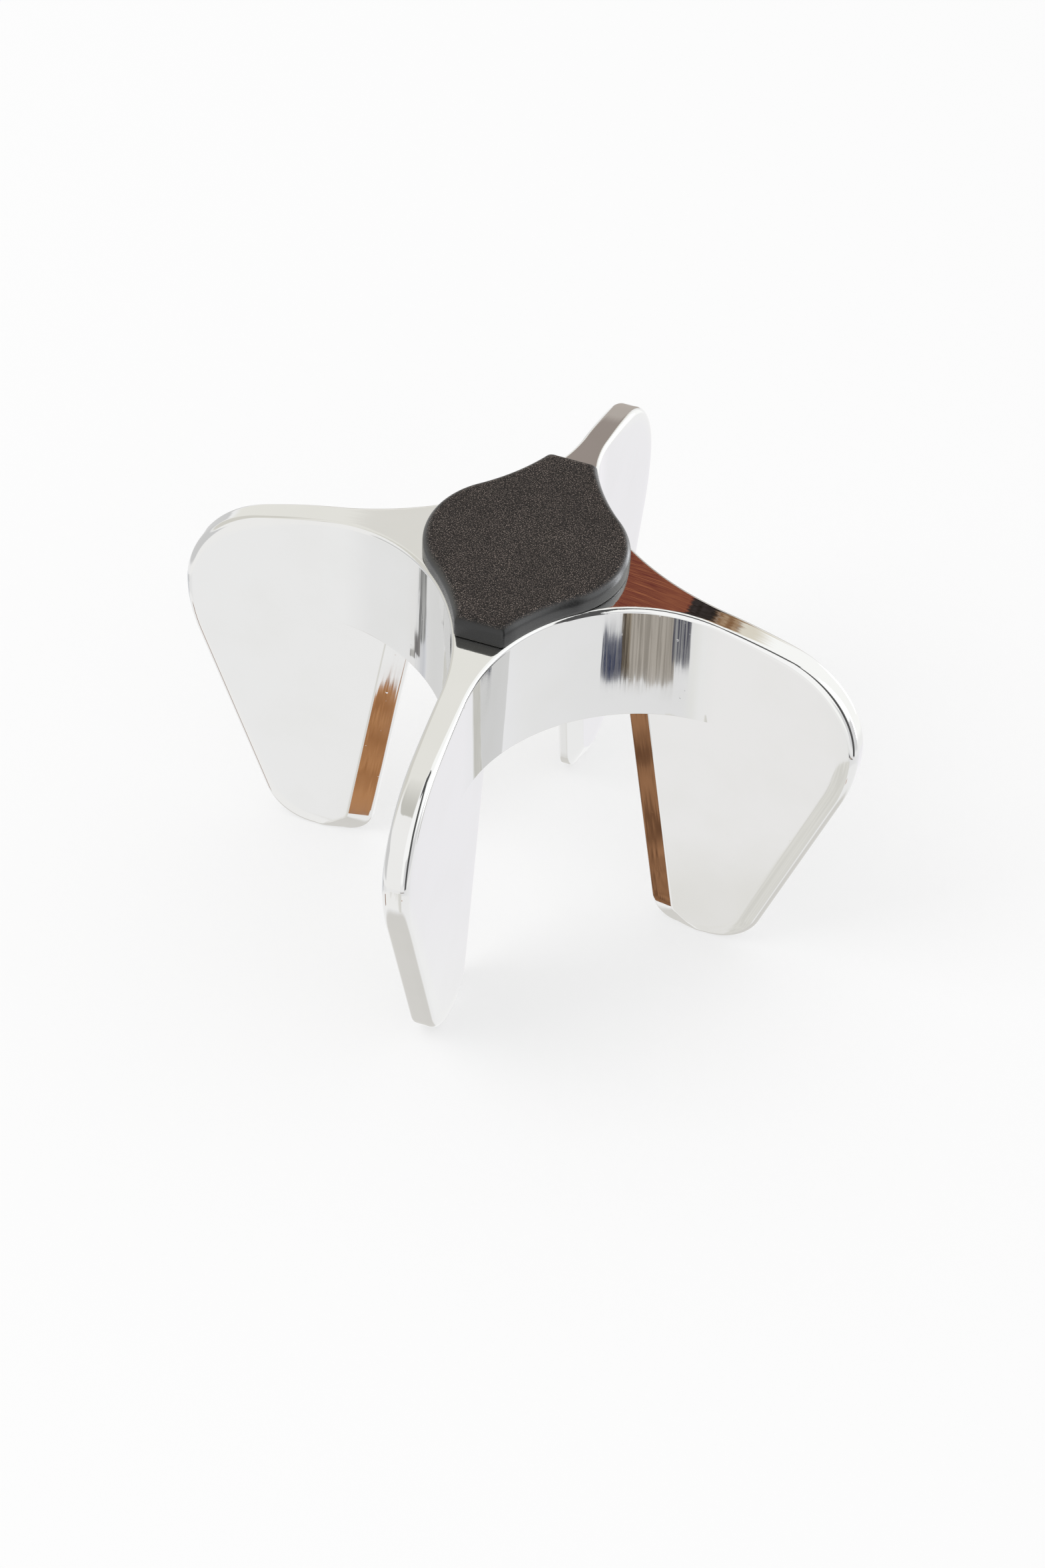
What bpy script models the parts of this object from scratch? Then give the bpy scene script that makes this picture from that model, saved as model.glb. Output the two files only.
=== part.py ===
# A four-winged star for easing the cork out of a sparkling-wine bottle.
# One polished casting has a hub and four upright wings that grip the cork from four sides.
# A moulded cap covers the hub. A screw from below holds the cap down.
# Units are metres, +Z is up, and the origin is midway between the four feet, on the table.

import math

import bmesh
import bpy
from mathutils import Matrix

# Whole star
STAR_HEIGHT = 0.0432
HUB_SEAT = 0.0290

# Wing outline, from the hub top outwards and down to the foot
CROWN_FLAT = 0.0065
CROWN_RADIUS = 0.068
CROWN_ANGLE = math.radians(18.3)
SHOULDER_RADIUS = 0.0112
BELLY_RADIUS = 0.0184
OUTER_SLANT = math.radians(21.4)
FOOT_RADIUS = 0.0055

# Wing thickness, and the wedge along each inner edge that bites into the cork
ROOT_HALF = 0.00135
TIP_HALF = 0.00145
TAPER_START = 0.0210
TAPER_END = 0.0370
BITE_HALF = 0.0004
BITE_RADIUS = 0.01125
BITE_WIDTH = 0.0025
BITE_SPREAD = 0.0044
BITE_CORNER = 0.0030

# Concave walls between neighbouring wings. They end WALL_OVERLAP inside the wing's faces,
# and stop WALL_END short of a full quarter circle.
WALL_RADIUS = 0.01929
WALL_OVERLAP = 0.00004
WALL_END = math.radians(2)

# Rounding of the casting's edges, where two faces meet more sharply than EDGE_ANGLE
EDGE_ROUND = 0.0003
EDGE_ANGLE = math.radians(40)

# Cap
CAP_TOP = 0.0453
CAP_LOBE_REACH = 0.0103
CAP_TAB_REACH = 0.0134
CAP_FLANK_RADIUS = 0.0255
CAP_FLANK_MIDDLE = 0.0250
CAP_EDGE = 0.0009
FIT_GAP = 0.0003

# Screw, washer and the holes that they share with the cap's boss and pins
BOSS_RADIUS = 0.0030
BOSS_BOTTOM = 0.0385
PILOT_RADIUS = 0.00175
PILOT_TOP = 0.0434
PIN_RADIUS = 0.0012
PIN_PLACE = 0.0110
PIN_BOTTOM = 0.0402
CLEARANCE_RADIUS = 0.0019
COUNTERBORE_RADIUS = 0.0037
COUNTERBORE_TOP = 0.0340
WASHER_RADIUS = 0.0033
WASHER_BORE = 0.00175
WASHER_THICKNESS = 0.0006
SCREW_HEAD_RADIUS = 0.0028
SCREW_HEAD_HEIGHT = 0.0020
SCREW_HEAD_DOME = 0.0009
SCREW_RADIUS = 0.00145
SCREW_ROOT = 0.0011
SCREW_PITCH = 0.0010
SCREW_TIP = 0.0427
RECESS_LENGTH = 0.0030
RECESS_WIDTH = 0.0007
RECESS_DEPTH = 0.0011

# Modelling. Cutters run past a face by OVERRUN, facets stay within CURVE_GAP of their curve,
# points closer than MERGE become one, and faces that meet below SMOOTH_ANGLE are shaded as one.
PART_NAME = "cork_star_opener"
OVERRUN = 0.002
CURVE_GAP = 0.00002
MERGE = 0.00001
SMOOTH_ANGLE = math.radians(30)


# Scene helpers

def clear_scene():
    for thing in list(bpy.data.objects):
        bpy.data.objects.remove(thing, do_unlink=True)
    for group in list(bpy.data.collections):
        bpy.data.collections.remove(group)


def new_collection(name):
    group = bpy.data.collections.new(name)
    bpy.context.scene.collection.children.link(group)
    return group


def new_material(name, colour, roughness, metallic):
    material = bpy.data.materials.new(name)
    material.use_nodes = True
    shader = material.node_tree.nodes["Principled BSDF"]
    shader.inputs["Base Color"].default_value = (*colour, 1.0)
    shader.inputs["Roughness"].default_value = roughness
    shader.inputs["Metallic"].default_value = metallic
    material.diffuse_color = (*colour, 1.0)
    return material


def place(thing, group, material=None):
    group.objects.link(thing)
    if material:
        thing.data.materials.append(material)
    if group.name.endswith("cutters"):
        thing.hide_render = True
        thing.display_type = "WIRE"
    return thing


def mesh_object(name, build, group, material=None):
    """Make an object whose mesh is filled by build, a function that takes a bmesh."""
    work = bmesh.new()
    build(work)
    bmesh.ops.recalc_face_normals(work, faces=work.faces)
    mesh = bpy.data.meshes.new(name)
    work.to_mesh(mesh)
    work.free()
    return place(bpy.data.objects.new(name, mesh), group, material)


def facets(radius, angle):
    """How many straight pieces an arc needs to stay within CURVE_GAP of the true curve."""
    return math.ceil(abs(angle) / math.sqrt(8 * CURVE_GAP / radius))


def sides(radius):
    """Sides of a full circle, a multiple of four."""
    return 4 * math.ceil(facets(radius, 2 * math.pi) / 4)


def cylinder(name, radius, low, high, group, spot=(0.0, 0.0)):
    def build(work):
        middle = Matrix.Translation((spot[0], spot[1], (low + high) / 2))
        bmesh.ops.create_cone(work, cap_ends=True, segments=sides(radius), radius1=radius,
                              radius2=radius, depth=high - low, matrix=middle)
    return mesh_object(name, build, group)


def extruded(name, outline, low, high, group, turn=None, edge=0.0, material=None):
    """A flat outline as a 2D curve, thick from low to high, then turned into a mesh."""
    curve = bpy.data.curves.new(name, "CURVE")
    curve.dimensions = "2D"
    curve.fill_mode = "BOTH"
    curve.extrude = (high - low) / 2 - edge
    curve.bevel_depth = edge
    curve.bevel_resolution = 2
    curve.offset = -edge
    spline = curve.splines.new("POLY")
    spline.points.add(len(outline) - 1)
    for point, (x, y) in zip(spline.points, outline):
        point.co = (x, y, 0.0, 1.0)
    spline.use_cyclic_u = True
    draft = bpy.data.objects.new(name + "_draft", curve)
    bpy.context.scene.collection.objects.link(draft)
    bpy.context.view_layer.update()
    seen = draft.evaluated_get(bpy.context.evaluated_depsgraph_get())
    mesh = bpy.data.meshes.new_from_object(seen)
    bpy.data.objects.remove(draft, do_unlink=True)
    mesh.transform(Matrix.Translation((0.0, 0.0, (low + high) / 2)))
    if turn:
        mesh.transform(turn)
    mesh.name = name
    mesh.materials.clear()
    work = bmesh.new()
    work.from_mesh(mesh)
    bmesh.ops.remove_doubles(work, verts=work.verts, dist=MERGE)
    bmesh.ops.recalc_face_normals(work, faces=work.faces)
    work.to_mesh(mesh)
    work.free()
    return place(bpy.data.objects.new(name, mesh), group, material)


def turned(name, profile, group, material=None):
    """A profile of (radius, height) points, running down its outer side, turned about Z."""
    mesh = bpy.data.meshes.new(name)
    points = [(radius, 0.0, height) for radius, height in profile]
    links = [(n, n + 1) for n in range(len(points) - 1)]
    mesh.from_pydata(points, links, [])
    thing = place(bpy.data.objects.new(name, mesh), group, material)
    turn = thing.modifiers.new("turn", "SCREW")
    turn.steps = sides(max(radius for radius, height in profile))
    turn.render_steps = turn.steps
    turn.use_merge_vertices = True
    turn.merge_threshold = MERGE
    return thing


def combine(thing, other, operation):
    step = thing.modifiers.new(other.name, "BOOLEAN")
    step.operation = operation
    step.object = other
    step.solver = "EXACT"


def finish(thing):
    """Join points that the cuts left on top of each other, and shade the curves smoothly."""
    weld = thing.modifiers.new("weld", "WELD")
    weld.merge_threshold = MERGE
    thing.data.shade_smooth()
    thing.data.set_sharp_from_angle(angle=SMOOTH_ANGLE)


# Outlines

def arc(middle, radius, start, end):
    """Points on an arc from the angle start to the angle end, both ends included."""
    count = facets(radius, end - start)
    step = (end - start) / count
    angles = [start + step * n for n in range(count + 1)]
    return [(middle[0] + radius * math.cos(a), middle[1] + radius * math.sin(a)) for a in angles]


def crown_height(reach):
    """Height of the star's top at a distance from the axis: flat, then a wide arc."""
    past = max(reach - CROWN_FLAT, 0.0)
    return STAR_HEIGHT - CROWN_RADIUS + math.sqrt(CROWN_RADIUS ** 2 - past ** 2)


def outer_outline():
    """One side of the star's silhouette: crown, shoulder, belly, slanted edge and foot."""
    down = math.pi / 2
    crown_middle = (CROWN_FLAT, STAR_HEIGHT - CROWN_RADIUS)
    crown = arc(crown_middle, CROWN_RADIUS, down, down - CROWN_ANGLE)
    end_x, end_z = crown[-1]
    shoulder_middle = (end_x - SHOULDER_RADIUS * math.sin(CROWN_ANGLE),
                       end_z - SHOULDER_RADIUS * math.cos(CROWN_ANGLE))
    shoulder = arc(shoulder_middle, SHOULDER_RADIUS, down - CROWN_ANGLE, 0.0)
    belly_middle = (shoulder[-1][0] - BELLY_RADIUS, shoulder[-1][1])
    belly = arc(belly_middle, BELLY_RADIUS, 0.0, -OUTER_SLANT)
    end_x, end_z = belly[-1]
    # The foot arc touches both the slanted edge and the table.
    across = (end_x * math.cos(OUTER_SLANT) - (end_z - FOOT_RADIUS) * math.sin(OUTER_SLANT)
              - FOOT_RADIUS) / math.cos(OUTER_SLANT)
    foot = arc((across, FOOT_RADIUS), FOOT_RADIUS, -OUTER_SLANT, -down)
    return crown + shoulder[1:] + belly[1:] + foot


def silhouette():
    side = outer_outline()
    other = [(-x, z) for x, z in reversed(side)]
    return side + other


def hub_plan():
    """A square with four concave sides, whose corners end inside the wings."""
    middle = WALL_RADIUS + ROOT_HALF
    radius = WALL_RADIUS + WALL_OVERLAP
    points = []
    for quarter in range(4):
        turn = quarter * math.pi / 2
        centre = (middle * math.sqrt(2) * math.cos(turn + math.pi / 4),
                  middle * math.sqrt(2) * math.sin(turn + math.pi / 4))
        points += arc(centre, radius, turn + math.pi * 1.5 - WALL_END, turn + math.pi + WALL_END)
    return points


# Casting

def add_wing(work):
    """One wing as a tall prism: a narrow nose facing the cork, faces that part outwards."""
    slope = BITE_SPREAD / HUB_SEAT
    top = STAR_HEIGHT + OVERRUN
    nose = BITE_RADIUS - slope * (top - HUB_SEAT)
    plan = [(nose, -BITE_HALF), (nose + BITE_WIDTH, -ROOT_HALF), (TAPER_START, -ROOT_HALF),
            (TAPER_END, -TIP_HALF), (TAPER_END, TIP_HALF), (TAPER_START, ROOT_HALF),
            (nose + BITE_WIDTH, ROOT_HALF), (nose, BITE_HALF)]
    corners = [work.verts.new((x, y, top)) for x, y in plan]
    face = work.faces.new(corners)
    drawn = bmesh.ops.extrude_face_region(work, geom=[face])
    lower = [item for item in drawn["geom"] if isinstance(item, bmesh.types.BMVert)]
    drop = top + OVERRUN
    bmesh.ops.translate(work, verts=lower, vec=(0.0, 0.0, -drop))
    leaning = [item for item in lower if item.co.x < TAPER_START - BITE_WIDTH]
    bmesh.ops.translate(work, verts=leaning, vec=(slope * drop, 0.0, 0.0))


def round_bite_corner(work):
    """Cutter that rounds the lower inner corner of a wing on the +X side."""
    slope = BITE_SPREAD / HUB_SEAT
    lean = math.atan(slope)
    # The corner arc touches the leaning inner edge and dips just below the table.
    inner_at_table = BITE_RADIUS + slope * HUB_SEAT
    middle_x = inner_at_table + BITE_CORNER * (1 / math.cos(lean) - math.tan(lean))
    middle = (middle_x, BITE_CORNER - CURVE_GAP)
    bend = arc(middle, BITE_CORNER, math.pi - lean, math.pi * 1.5)
    outside = [(middle_x, -2 * OVERRUN), (inner_at_table - OVERRUN, -2 * OVERRUN),
               (inner_at_table - OVERRUN, bend[0][1])]
    outline = bend + outside
    near = [work.verts.new((x, -TIP_HALF * 2, z)) for x, z in outline]
    face = work.faces.new(near)
    drawn = bmesh.ops.extrude_face_region(work, geom=[face])
    far = [item for item in drawn["geom"] if isinstance(item, bmesh.types.BMVert)]
    bmesh.ops.translate(work, verts=far, vec=(0.0, TIP_HALF * 4, 0.0))


def round_edges(thing):
    """Round the sharp edges of one plain block, before the blocks are joined."""
    rounding = thing.modifiers.new("edges", "BEVEL")
    rounding.width = EDGE_ROUND
    rounding.segments = 2
    rounding.limit_method = "ANGLE"
    rounding.angle_limit = EDGE_ANGLE
    rounding.use_clamp_overlap = False


def build_star(group, cutters):
    chrome = new_material("polished_chrome", (0.80, 0.80, 0.79), 0.06, 1.0)
    stand = Matrix.Rotation(math.pi / 2, 4, "X")
    reach = TAPER_END + OVERRUN
    shapes = []
    for quarter in range(2):
        turn = Matrix.Rotation(quarter * math.pi / 2, 4, "Z") @ stand
        shapes.append(extruded(f"silhouette_{quarter}", silhouette(), -reach, reach, cutters,
                               turn=turn))
    star = extruded("grip_star", hub_plan(), HUB_SEAT, STAR_HEIGHT + 2 * OVERRUN, group,
                    material=chrome)
    combine(star, shapes[0], "INTERSECT")
    combine(star, shapes[1], "INTERSECT")
    round_edges(star)
    for quarter in range(4):
        turn = Matrix.Rotation(quarter * math.pi / 2, 4, "Z")
        wing = mesh_object(f"wing_{quarter}", add_wing, cutters)
        wing.data.transform(turn)
        corner = mesh_object(f"wing_corner_{quarter}", round_bite_corner, cutters)
        corner.data.transform(turn)
        combine(wing, corner, "DIFFERENCE")
        combine(wing, shapes[quarter % 2], "INTERSECT")
        round_edges(wing)
        combine(star, wing, "UNION")
    above = STAR_HEIGHT + OVERRUN
    below = HUB_SEAT - OVERRUN
    holes = [
        cylinder("boss_pocket", BOSS_RADIUS + FIT_GAP, BOSS_BOTTOM - FIT_GAP, above, cutters),
        cylinder("screw_hole", CLEARANCE_RADIUS, below, above, cutters),
        cylinder("counterbore", COUNTERBORE_RADIUS, below, COUNTERBORE_TOP, cutters),
    ]
    for side in (-1, 1):
        holes.append(cylinder(f"pin_hole_{side}", PIN_RADIUS + FIT_GAP, PIN_BOTTOM - FIT_GAP,
                              above, cutters, spot=(0.0, side * PIN_PLACE)))
    for hole in holes:
        combine(star, hole, "DIFFERENCE")
    return star


# Cap

def cap_plan():
    """Two round lobes over the side wings and two flared tabs over the front and back wings."""
    middle = CAP_FLANK_MIDDLE
    span = CAP_LOBE_REACH + CAP_FLANK_RADIUS
    # The lobe's circle reaches CAP_LOBE_REACH on X and touches the flank's circle.
    lobe_x = (span ** 2 - 2 * middle ** 2) / (2 * span - 2 * middle)
    toward = math.atan2(middle, middle - lobe_x)
    lobe = arc((lobe_x, 0.0), CAP_LOBE_REACH - lobe_x, 0.0, toward)
    tab_angle = math.pi + math.asin((middle - CAP_TAB_REACH) / CAP_FLANK_RADIUS)
    flank = arc((middle, middle), CAP_FLANK_RADIUS, toward + math.pi, tab_angle)
    quarter = lobe + flank[1:]
    half = quarter + [(-x, y) for x, y in reversed(quarter)]
    return half + [(x, -y) for x, y in reversed(half[1:-1])]


def crown_block(cutters):
    """Everything below the star's top, raised by the fitting gap, as far as the cap reaches."""
    reach = CAP_TAB_REACH + OVERRUN
    count = 2 * facets(CROWN_RADIUS, 2 * reach / CROWN_RADIUS)
    places = [reach * (2 * n / count - 1) for n in range(count + 1)]
    outline = [(y, crown_height(abs(y)) + FIT_GAP) for y in places]
    outline += [(reach, HUB_SEAT), (-reach, HUB_SEAT)]
    turn = Matrix.Rotation(math.pi / 2, 4, "Z") @ Matrix.Rotation(math.pi / 2, 4, "X")
    return extruded("crown_block", outline, -reach, reach, cutters, turn=turn)


def build_cap(group, cutters):
    plastic = new_material("grained_black_plastic", (0.035, 0.031, 0.029), 0.55, 0.0)
    cap = extruded("top_cap", cap_plan(), HUB_SEAT + OVERRUN, CAP_TOP, group,
                   edge=CAP_EDGE, material=plastic)
    combine(cap, crown_block(cutters), "DIFFERENCE")
    inside = CAP_TOP - CAP_EDGE
    boss = cylinder("cap_boss", BOSS_RADIUS, BOSS_BOTTOM, inside, cutters)
    combine(cap, boss, "UNION")
    for side in (-1, 1):
        pin = cylinder(f"cap_pin_{side}", PIN_RADIUS, PIN_BOTTOM, inside, cutters,
                       spot=(0.0, side * PIN_PLACE))
        combine(cap, pin, "UNION")
    pilot = cylinder("pilot_hole", PILOT_RADIUS, BOSS_BOTTOM - OVERRUN, PILOT_TOP, cutters)
    combine(cap, pilot, "DIFFERENCE")
    return cap


# Fastening

def screw_profile():
    """From the tip down over the thread's rings to the middle of the domed head."""
    head_top = COUNTERBORE_TOP - WASHER_THICKNESS - 2 * FIT_GAP
    point = [(0.0, SCREW_TIP), (SCREW_ROOT / 2, SCREW_TIP), (SCREW_ROOT, SCREW_TIP - SCREW_PITCH)]
    shank = []
    turns = int((SCREW_TIP - SCREW_PITCH - head_top) / SCREW_PITCH) - 1
    for n in range(turns):
        crest = SCREW_TIP - SCREW_PITCH * (n + 1.5)
        shank += [(SCREW_RADIUS, crest), (SCREW_ROOT, crest - SCREW_PITCH / 2)]
    neck = [(SCREW_ROOT, head_top), (SCREW_HEAD_RADIUS, head_top)]
    low = head_top - SCREW_HEAD_HEIGHT
    rim = low + SCREW_HEAD_DOME
    count = facets(SCREW_HEAD_RADIUS, math.pi / 2)
    angles = [math.pi / 2 * n / count for n in range(count)]
    dome = [(SCREW_HEAD_RADIUS * math.cos(a), rim - SCREW_HEAD_DOME * math.sin(a)) for a in angles]
    return point + shank + neck + dome + [(0.0, low)]


def build_screw(group, cutters):
    steel = new_material("zinc_plated_steel", (0.60, 0.60, 0.57), 0.35, 1.0)
    screw = turned("cap_screw", screw_profile(), group, steel)
    low = COUNTERBORE_TOP - WASHER_THICKNESS - 2 * FIT_GAP - SCREW_HEAD_HEIGHT
    for quarter in range(2):
        size = (RECESS_LENGTH, RECESS_WIDTH, 2 * RECESS_DEPTH)

        def build(work, size=size):
            bmesh.ops.create_cube(work, size=1.0)
            bmesh.ops.scale(work, verts=work.verts, vec=size)

        slot = mesh_object(f"recess_{quarter}", build, cutters)
        slot.data.transform(Matrix.Rotation(quarter * math.pi / 2, 4, "Z"))
        slot.location = (0.0, 0.0, low)
        combine(screw, slot, "DIFFERENCE")
    return screw


def build_washer(group):
    steel = new_material("washer_steel", (0.55, 0.55, 0.53), 0.40, 1.0)
    high = COUNTERBORE_TOP - FIT_GAP
    low = high - WASHER_THICKNESS
    ring = [(WASHER_BORE, high), (WASHER_RADIUS, high), (WASHER_RADIUS, low), (WASHER_BORE, low),
            (WASHER_BORE, high)]
    return turned("screw_washer", ring, group, steel)


def main():
    clear_scene()
    group = new_collection(PART_NAME)
    cutters = new_collection(PART_NAME + "_cutters")
    pieces = [build_star(group, cutters), build_cap(group, cutters),
              build_screw(group, cutters), build_washer(group)]
    for piece in pieces:
        finish(piece)


main()
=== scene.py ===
# A four-winged star opener in polished chrome with a grained black cap, in a plain studio.
# Shapes are worked out in millimetres and stored in metres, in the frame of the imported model:
# +Z is up, the feet stand on z = 0, and the four wings lie along X and Y.

import math

import bmesh
import bpy
import numpy as np
from mathutils import Matrix, Vector
from mathutils.geometry import delaunay_2d_cdt


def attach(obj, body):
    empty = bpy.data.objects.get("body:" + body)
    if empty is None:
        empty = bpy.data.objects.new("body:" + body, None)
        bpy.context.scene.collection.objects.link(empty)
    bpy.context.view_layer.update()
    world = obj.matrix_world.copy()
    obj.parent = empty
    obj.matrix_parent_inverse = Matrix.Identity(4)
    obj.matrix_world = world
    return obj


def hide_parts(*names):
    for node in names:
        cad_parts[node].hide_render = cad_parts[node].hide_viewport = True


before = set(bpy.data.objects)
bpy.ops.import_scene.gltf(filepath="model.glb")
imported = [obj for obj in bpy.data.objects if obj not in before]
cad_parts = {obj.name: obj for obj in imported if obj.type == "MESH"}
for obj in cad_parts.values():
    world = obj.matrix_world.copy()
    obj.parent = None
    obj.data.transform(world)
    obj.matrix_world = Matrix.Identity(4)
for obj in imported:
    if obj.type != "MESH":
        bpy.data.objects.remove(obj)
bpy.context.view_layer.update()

millimetre = 0.001
mergeGap = 0.0005          # millimetres; points closer than this become one
sharpAngle = math.radians(36)
mottle = (0.3, 0.7)        # nearly all values of a noise lie between these


def smoothStep(t):
    # 3t^2 - 2t^3 between 0 and 1
    t = np.clip(t, 0.0, 1.0)
    return t * t * (3.0 - 2.0 * t)


def gridQuads(rows, columns, start=0):
    # Point (i, j) of a grid has the number i * columns + j; each cell is one face of four numbers.
    i, j = np.meshgrid(np.arange(rows - 1), np.arange(columns - 1), indexing="ij")
    a = (i * columns + j).ravel() + start
    return np.stack([a, a + columns, a + columns + 1, a + 1], axis=1)


class Skin:
    # Collects grids and flat faces, then welds them into one closed mesh.
    def __init__(self):
        self.points = []
        self.faces = []
        self.count = 0

    def addGrid(self, grid):
        rows, columns = grid.shape[:2]
        self.faces += gridQuads(rows, columns, self.count).tolist()
        self.addPoints(grid.reshape(-1, 3))

    def addFace(self, loop):
        self.faces.append(list(range(self.count, self.count + len(loop))))
        self.addPoints(np.asarray(loop, float))

    def addSheet(self, outer, height, hole=(), extra=(), keep=lambda x, y: x == x):
        # Triangles between an outer loop and a hole, both plan points, by way of the extra
        # points; height(x, y) lifts them, and keep(x, y) says which ones stay.
        plan = np.concatenate([p[:, :2] for p in (outer, hole, extra) if len(p)])
        borders = [np.arange(len(outer)), np.arange(len(outer), len(outer) + len(hole))]
        edges = [(int(loop[n - 1]), int(loop[n])) for loop in borders for n in range(len(loop))]
        plan = [Vector(p) for p in plan.tolist()]
        corners, _, cells, _, _, _ = delaunay_2d_cdt(plan, edges, [], 1, 1e-7)
        corners = np.array([tuple(p) for p in corners])
        cells = np.array(cells)
        centre = corners[cells].mean(1)
        self.faces += (cells[keep(centre[:, 0], centre[:, 1])] + self.count).tolist()
        lifted = height(corners[:, 0], corners[:, 1]) + 0 * corners[:, 0]
        self.addPoints(np.column_stack([corners, lifted]))

    def addFlat(self, outer, radius, count, height):
        # A level face between an outer loop and a round hole about Z.
        self.addSheet(outer, lambda x, y: height, circlePlan(radius, count), (),
                      lambda x, y: np.hypot(x, y) > radius * math.cos(np.pi / count))

    def addPoints(self, points):
        self.points.append(points)
        self.count += len(points)

    def build(self, name, material):
        mesh = bpy.data.meshes.new(name)
        mesh.from_pydata(np.concatenate(self.points).tolist(), [], self.faces)
        work = bmesh.new()
        work.from_mesh(mesh)
        bmesh.ops.remove_doubles(work, verts=work.verts, dist=mergeGap)
        bmesh.ops.dissolve_degenerate(work, edges=work.edges, dist=mergeGap)
        bmesh.ops.recalc_face_normals(work, faces=work.faces)
        openEdges = sum(not edge.is_manifold for edge in work.edges)
        bmesh.ops.scale(work, verts=work.verts, vec=(millimetre,) * 3)
        work.to_mesh(mesh)
        work.free()
        mesh.shade_smooth()
        mesh.set_sharp_from_angle(angle=sharpAngle)
        mesh.materials.append(material)
        piece = bpy.data.objects.new(name, mesh)
        bpy.context.scene.collection.objects.link(piece)
        weighNormals(piece)
        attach(piece, "root")
        print(f"{name}: {len(piece.data.polygons)} faces, {openEdges} open edges")
        return piece


def weighNormals(piece):
    # Shading normals weighed by face area, so that large flat faces stay flat up to their edges.
    weigh = piece.modifiers.new("areaNormals", "WEIGHTED_NORMAL")
    weigh.mode = "FACE_AREA"
    weigh.weight = 50
    weigh.keep_sharp = True
    ready = piece.evaluated_get(bpy.context.evaluated_depsgraph_get())
    mesh = bpy.data.meshes.new_from_object(ready)
    piece.modifiers.clear()
    old, piece.data = piece.data, mesh
    bpy.data.meshes.remove(old)
    mesh.name = piece.name


def fullTurn(count):
    # Even angles round Z, with the first one again at the end.
    return np.append(np.arange(count), 0) * 2 * np.pi / count


def circlePlan(radius, count):
    # radius * (cos a, sin a) at even angles a
    turn = fullTurn(count)[:-1]
    return np.stack([radius * np.cos(turn), radius * np.sin(turn)], axis=1)


def turnedGrid(profile, count):
    # Each (radius, height) point of the profile goes round Z in count steps.
    turn = fullTurn(count)
    profile = np.asarray(profile, float)
    x = profile[:, 0, None] * np.cos(turn)
    y = profile[:, 0, None] * np.sin(turn)
    z = np.repeat(profile[:, 1, None], len(turn), axis=1)
    return np.stack([x, y, z], axis=2)


def arcPoints(middle, radius, start, end, count):
    # middle + radius * (cos a, sin a), with a from start to end
    a = np.linspace(start, end, count + 1)
    return np.stack([middle[0] + radius * np.cos(a), middle[1] + radius * np.sin(a)], axis=1)


def linePoints(start, end, count):
    # start * (1 - t) + end * t, with t from 0 to 1
    t = np.linspace(0.0, 1.0, count + 1)[:, None]
    return np.asarray(start) * (1 - t) + np.asarray(end) * t


def tidyLoop(loop):
    # A closed loop in plan without repeated points.
    plan = loop[:, :2]
    step = np.linalg.norm(plan - np.roll(plan, 1, axis=0), axis=1)
    return plan[step > mergeGap]


class Graph:
    # Adds nodes to one material or world and joins them. A value is a number, a colour or
    # another node's output, and each method gives the output that is of use.
    def __init__(self, tree):
        self.nodes = tree.nodes
        self.links = tree.links

    def feed(self, socket, value):
        if isinstance(value, bpy.types.NodeSocket):
            self.links.new(value, socket)
        elif socket.type == "RGBA":
            socket.default_value = (*value, 1.0)
        else:
            socket.default_value = value

    def fill(self, node, values):
        # Inputs by name or number.
        for name, value in values.items():
            self.feed(node.inputs[name], value)
        return node.outputs

    def add(self, kind, values=None, output=0):
        return self.fill(self.nodes.new(kind), values or {})[output]

    def maths(self, operation, first, second=0.0):
        node = self.nodes.new("ShaderNodeMath")
        node.operation = operation
        return self.fill(node, {0: first, 1: second})["Value"]

    def remap(self, value, fromLow, fromHigh, toLow=0.0, toHigh=1.0, way="LINEAR"):
        node = self.nodes.new("ShaderNodeMapRange")
        node.interpolation_type = way
        return self.fill(node, {"Value": value, "From Min": fromLow, "From Max": fromHigh,
                                "To Min": toLow, "To Max": toHigh})["Result"]

    def mix(self, factor, first, second, kind="RGBA"):
        node = self.nodes.new("ShaderNodeMix")
        node.data_type = kind
        return self.fill(node, {"Factor": factor, "A": first, "B": second})["Result"]

    def blend(self, factor, first, second):
        return self.add("ShaderNodeMixShader", {0: factor, 1: first, 2: second})

    def split(self, vector):
        # Its x, y and z.
        return self.fill(self.nodes.new("ShaderNodeSeparateXYZ"), {0: vector}).values()


class Finish(Graph):
    # A material round one Principled shader, with its noise on object coordinates.
    def __init__(self, name, colour, metallic, roughness):
        self.material = bpy.data.materials.new(name)
        self.material.use_nodes = True
        super().__init__(self.material.node_tree)
        self.shader = self.nodes["Principled BSDF"]
        self.relief = None
        self.put("Base Color", colour)
        self.put("Metallic", metallic)
        self.put("Roughness", roughness)

    def put(self, name, value):
        self.feed(self.shader.inputs[name], value)

    def place(self):
        return self.add("ShaderNodeTexCoord", output="Object")

    def noise(self, scale, detail, stretch=(1.0, 1.0, 1.0)):
        # In cycles per metre along each axis.
        place = self.add("ShaderNodeMapping", {"Scale": stretch, "Vector": self.place()})
        return self.add("ShaderNodeTexNoise", {"Scale": scale, "Detail": detail, "Vector": place})

    def bump(self, height, depth):
        # One more layer of relief, its real depth in metres, on top of the last one.
        values = {"Strength": 1.0, "Distance": depth, "Height": height}
        if self.relief is not None:
            values["Normal"] = self.relief
        self.relief = self.add("ShaderNodeBump", values)
        self.put("Normal", self.relief)


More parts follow.
